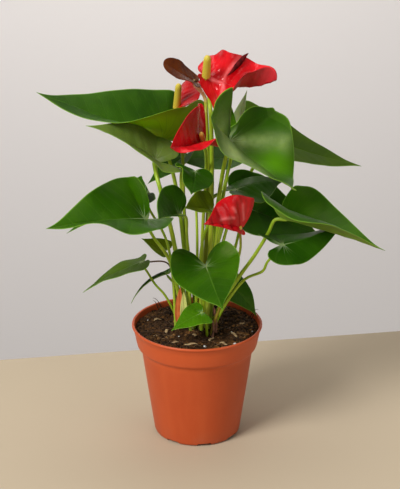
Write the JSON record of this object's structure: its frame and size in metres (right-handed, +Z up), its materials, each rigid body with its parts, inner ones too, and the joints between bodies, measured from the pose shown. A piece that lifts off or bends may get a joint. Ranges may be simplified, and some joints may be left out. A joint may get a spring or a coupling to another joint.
{
  "type": "potted anthurium",
  "caption": "Live anthurium with heart-shaped glossy leaves and red blooms with yellow spadices, rooted in soil in a round tapered plastic nursery pot.",
  "frame": {"origin": "middle of the pot's underside, on the surface that the pot stands on", "axes": "+Z up along the pot's axis, -Z out of the underside; +X to the viewer's right and +Y away from the viewer as the picture shows the plant"},
  "size_m": [0.3063, 0.1765, 0.3696],
  "materials": {
    "leaf": "live green leaf, glossy on top and satin below, with paler veins",
    "young_leaf": "rolled young leaf, pale grey green, satin",
    "stem": "live stem, yellow green, satin, with a brown flush",
    "spathe": "waxy red spathe, high gloss, quilted between raised veins",
    "spadix": "yellow spadix of small florets, matt",
    "dry_sheath": "dry papery sheath and dry stalk, orange brown",
    "green_sheath": "new sheath, yellow green, satin",
    "root": "aerial root, brown, matt",
    "pot": "terracotta-coloured plastic, satin, with fine grain",
    "soil": "dark potting soil of peat and bark, damp, rough, with chips and white grains"
  },
  "bodies": {
    "root": {"leaf_top_left": "leaf", "leaf_mid_left": "leaf", "leaf_left": "leaf", "leaf_front_right": "leaf", "leaf_back_right": "leaf", "leaf_inner_right": "leaf", "leaf_right": "leaf", "leaf_low_right": "leaf", "leaf_shaded_right": "leaf", "leaf_front": "leaf", "leaf_low_front": "leaf", "leaf_low_right_small": "leaf", "leaf_low_left": "leaf", "leaf_round": "leaf", "leaf_bronze": "leaf", "leaf_small_heart": "leaf", "leaf_behind_left": "leaf", "leaf_back": "leaf", "leaf_hidden_left": "leaf", "leaf_rolled": "young_leaf", "leaf_narrow": "leaf", "leaf_pale_small": "leaf", "sheath_brown": "dry_sheath", "sheath_green": "green_sheath", "stalk_dry": "dry_sheath", "root_tall": "root", "root_short": "root", "spathe_top": "spathe", "spadix_top": "spadix", "peduncle_top": "stem", "spathe_top_left": "spathe", "spadix_top_left": "spadix", "peduncle_top_left": "stem", "spathe_left": "spathe", "spadix_left": "spadix", "peduncle_left": "stem", "spathe_middle": "spathe", "spadix_middle": "spadix", "peduncle_middle": "stem", "spathe_low": "spathe", "spadix_low": "spadix", "peduncle_low": "stem", "pot": "pot", "soil": "soil"}
  },
  "joints": []
}
